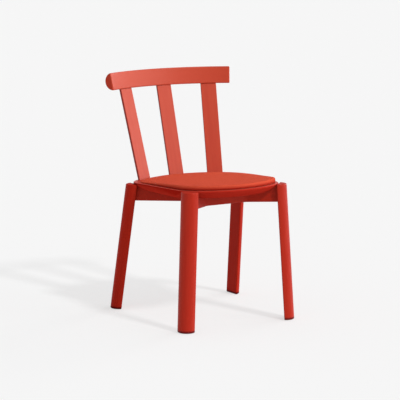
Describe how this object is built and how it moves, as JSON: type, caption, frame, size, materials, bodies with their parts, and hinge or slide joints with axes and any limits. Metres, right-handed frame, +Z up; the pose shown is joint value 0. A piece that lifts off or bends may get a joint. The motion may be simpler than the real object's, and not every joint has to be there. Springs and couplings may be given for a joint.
{
  "type": "upholstered wooden chair",
  "caption": "Lacquered wooden dining chair with splayed half-round legs, a bevelled seat with a thin fabric pad, flat reclined slats and a bent half-round crest rail.",
  "frame": {"origin": "on the floor, under the middle of the chair's outline", "axes": "+Z up, +X to the right as seen from the front, the front toward -Y"},
  "size_m": [0.4906, 0.5607, 0.7834],
  "materials": {
    "lacquered_wood": "warm red satin lacquer",
    "pad_fabric": "matte woven wool in the same warm red",
    "pad_filling": "foam",
    "plain_wood": "bare beech",
    "fastener_steel": "zinc plated",
    "glide_plastic": "black nylon"
  },
  "bodies": {
    "root": {"cover_staples": "fastener_steel", "crest_rail": "lacquered_wood", "foot_glides": "glide_plastic", "front_left_leg": "lacquered_wood", "front_leg_dowels": "plain_wood", "front_rail": "lacquered_wood", "front_right_leg": "lacquered_wood", "glide_nails": "fastener_steel", "hub_dowels": "plain_wood", "hub_tie_left": "lacquered_wood", "hub_tie_right": "lacquered_wood", "pad_base": "plain_wood", "pad_cover": "pad_fabric", "pad_foam": "pad_filling", "pad_screws": "fastener_steel", "pad_tee_nuts": "fastener_steel", "rear_left_leg": "lacquered_wood", "rear_leg_dowels": "plain_wood", "rear_rail": "lacquered_wood", "rear_right_leg": "lacquered_wood", "seat_board": "lacquered_wood", "seat_screws": "fastener_steel", "slat_left": "lacquered_wood", "slat_middle": "lacquered_wood", "slat_right": "lacquered_wood"}
  },
  "joints": []
}
